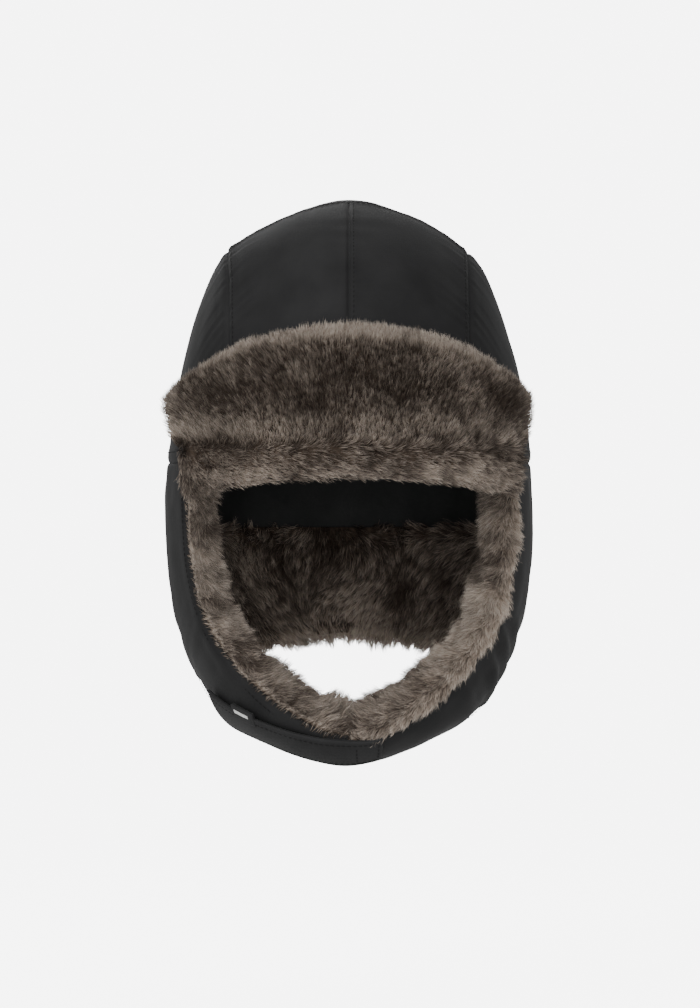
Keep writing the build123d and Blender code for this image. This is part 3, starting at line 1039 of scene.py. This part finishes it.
def front_flap():
    """The turned-up front flap's middle part and wings: backing, fleece and pile of each."""
    parts = {"front_flap": ((-WING_SHARE, WING_SHARE), "front", 70, (0, FRONT_FOLD_Y)),
             "front_wing_left": ((WING_SHARE, 1), "wing", 50, SIDE_FOLD),
             "front_wing_right": ((-1, -WING_SHARE), "wing", 50, (-SIDE_FOLD[0], SIDE_FOLD[1]))}
    for index, (name, (shares, key, columns, hinge)) in enumerate(parts.items()):
        backing = front_slab(f"{name}_cloth", shares, 1.0, 2.4, BACKING, columns, 80 + index)
        inside = (shares[0] + 0.035, shares[1] - 0.035)
        fleece = front_slab(f"{name}_fleece", inside, 3.2, 4.6, WADDING, 24, 83 + index,
                            (0.24, 0.94))
        ground = front_slab(f"{name}_pile_ground", shares, 3.0, 9.4, GROUND, columns, 86 + index,
                            (0.0, 0.99))
        pile = front_pile(f"{name}_pile", PILE_COUNT[key], shares, 90 + 10 * index)
        declare([(backing, f"{name}_backing", "flap_backing"),
                 (fleece, f"{name}_wadding", "wadding"), (ground, f"{name}_fur", "pile")])
        # each piece's transform is baked into its mesh; the heights given with them are not used
        for piece, low, high in ((backing, -14, 6), (fleece, -14, 6),
                                 (ground, -19, -12), (pile, -19, -12)):
            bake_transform(piece)


# ---- chin strap

STRAP_CENTRE, STRAP_RADIUS = (8.2, 8.9), 92.3  # its middle line is an arc in plan
STRAP_SEWN, STRAP_FREE = -5.4, 60.0  # angles of its two ends, from straight ahead towards the right
STRAP_LENGTH = STRAP_RADIUS * math.radians(STRAP_FREE - STRAP_SEWN)
STRAP_WIDTH = 15.0  # in plan
SEWN_TAPER = 15  # the strap is narrower for about this length at its sewn end


def under(x, y, out):
    """The point below the joined chin parts at a place in plan, out below the nylon."""
    x, y, out = np.broadcast_arrays(x, y, out)
    lowest, highest = -185.0, -95.0
    z = bisect(np.full(x.shape, lowest), np.full(x.shape, highest), 30,
               lambda z: ~outside(x, y, z, -out))
    return np.stack([x, y, z], -1)


def strap_grid(begin, end, half_width, out, rows=90, columns=16, shift=0.0):
    """Part of the strap's form, from a distance along it to another, out from the nylon."""
    angle = math.radians(STRAP_SEWN) + np.linspace(begin, end, rows)[:, None] / STRAP_RADIUS
    offset = shift + np.linspace(-half_width, half_width, columns)[None]
    taper = np.exp(-(np.linspace(begin, end, rows)[:, None] / SEWN_TAPER) ** 2)
    radius = STRAP_RADIUS + offset * (1 - 0.38 * taper * (offset > 0))
    x, y = STRAP_CENTRE[0] - radius * np.sin(angle), STRAP_CENTRE[1] - radius * np.cos(angle)
    place = under(x, y, 0)
    step = 0.2
    ahead = under(x + step * np.cos(angle), y - step * np.sin(angle), 0) - place
    across = under(x - step * np.sin(angle), y - step * np.cos(angle), 0) - place
    normal = unit(np.cross(ahead, across))
    return place + normal * np.sign((normal * place).sum(-1, keepdims=True)) * out


def strap_slab(name, begin, end, half_width, inner, outer, material, wave=0.0, shift=0.0):
    """A sheet that follows the strap's form, between two distances out from the nylon."""
    near = strap_grid(begin, end, half_width, inner, shift=shift)
    far = strap_grid(begin, end, half_width, outer, shift=shift)
    ripple = (wave * noise(far, 14, 61))[..., None] * unit(far - near)
    return slab(name, far + ripple, near + ripple, material)


def chin_strap():
    """The strap, its hook patch and blank tab, the loop patch under it, and its stitches."""
    end = STRAP_LENGTH
    strap = strap_slab("chin_strap_cloth", 0, end - 7, STRAP_WIDTH / 2, 2.0, 3.6, WEB, 0.3)
    hook = strap_slab("hook_patch_tape", end - 50, end - 9, 5.4, 1.3, 1.95, HOOK)
    loop = strap_slab("loop_patch_tape", end - 52, end - 8, 5.6, 0.4, 1.2, LOOP)
    tab = strap_slab("strap_tab_cloth", end - 40, end - 27, 1.9, 1.9, 4.0, WEB, 0, 7.0)
    mark = strap_slab("strap_tab_stripe", end - 37, end - 28.5, 0.42, 3.9, 4.3, STRIPE, 0, 7.6)
    declare([(strap, "chin_strap", "strap"), (hook, "hook_patch", "hook_tape"),
             (tab, "strap_tab", "strap")], "chin_strap")
    declare([(loop, "loop_patch", "loop_tape")], "chin_part_right")
    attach(mark, "chin_strap")
    to_edge, over = 5.8, 3.7  # the stitches' distance from the middle line, and from the nylon
    lines = [strap_grid(1, end - 8, 0.01, over, 300, 1, shift)[:, 0]
             for shift in (-to_edge, to_edge)]
    lines += [strap_grid(at, at + 0.02, to_edge, over, 1, 60)[0] for at in (2.0, 13.0)]
    rows = [(line, unit(line - [0, -30, -90])) for line in lines]
    thread = stitches("chin_strap_stitching", rows, THREAD)
    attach(thread, "chin_strap")


# ---- the hat

camera()
studio()
floor()
crown()
inner_crown()
neck_flap()
ear_flap("left", 1)
ear_flap("right", -1)
front_flap()
chin_strap()
